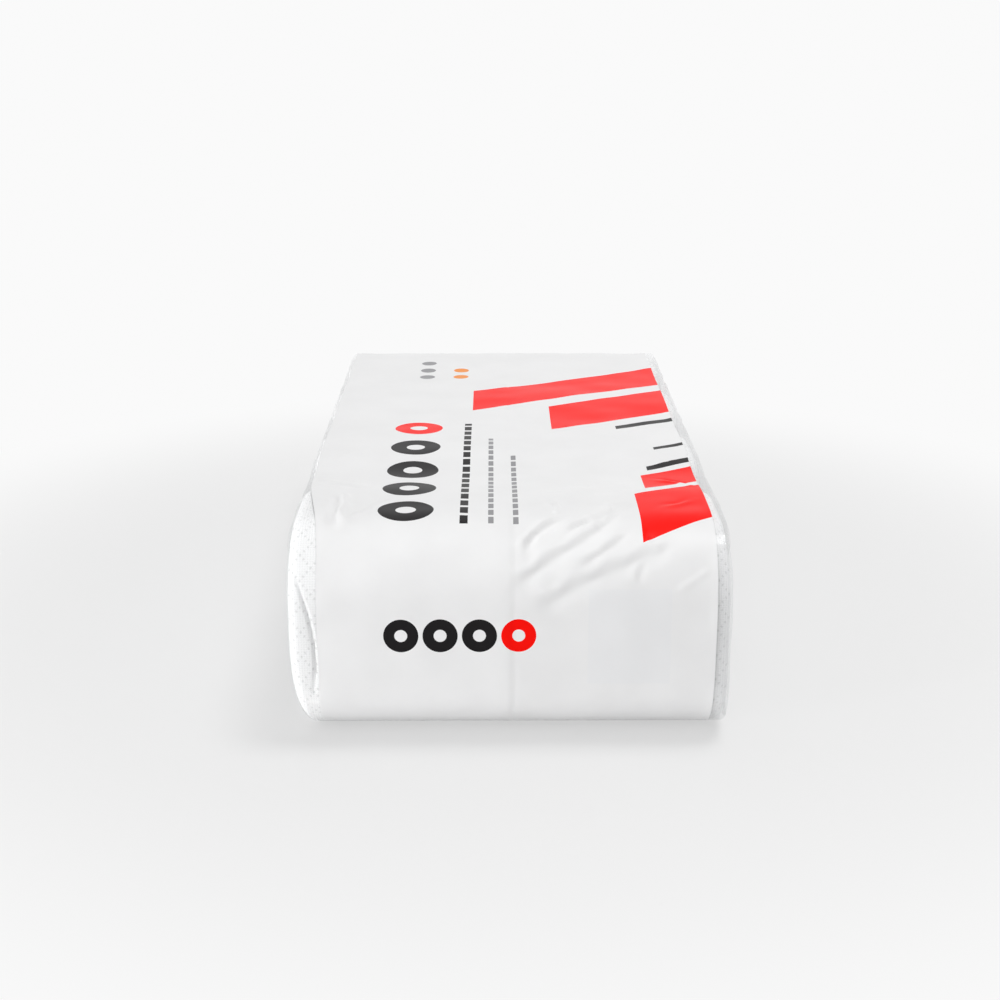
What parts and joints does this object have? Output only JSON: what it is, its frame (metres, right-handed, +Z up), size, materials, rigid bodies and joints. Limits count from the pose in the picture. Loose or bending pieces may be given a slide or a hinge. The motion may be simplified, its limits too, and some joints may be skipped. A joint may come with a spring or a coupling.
{
  "type": "toilet paper roll pack",
  "caption": "Film-wrapped pack of toilet paper rolls lying on its broad side, with folded and welded clear ends.",
  "frame": {"origin": "on the surface that the pack rests on, under the middle of its outline", "axes": "+Z up; +X along the roll axes, from the left end to the right end as seen from the front; +Y from the front of the pack to its back"},
  "size_m": [0.1962, 0.3878, 0.0978],
  "materials": {
    "film": "soft gloss polyethylene film, opaque white where printed",
    "tissue": "white embossed tissue",
    "core_board": "grey-brown spiral-wound board"
  },
  "bodies": {
    "root": {"film_wrap": "film", "paper_roll_left_1": "tissue", "paper_roll_left_2": "tissue", "paper_roll_left_3": "tissue", "paper_roll_left_4": "tissue", "paper_roll_right_1": "tissue", "paper_roll_right_2": "tissue", "paper_roll_right_3": "tissue", "paper_roll_right_4": "tissue", "cardboard_core_left_1": "core_board", "cardboard_core_left_2": "core_board", "cardboard_core_left_3": "core_board", "cardboard_core_left_4": "core_board", "cardboard_core_right_1": "core_board", "cardboard_core_right_2": "core_board", "cardboard_core_right_3": "core_board", "cardboard_core_right_4": "core_board"}
  },
  "joints": []
}
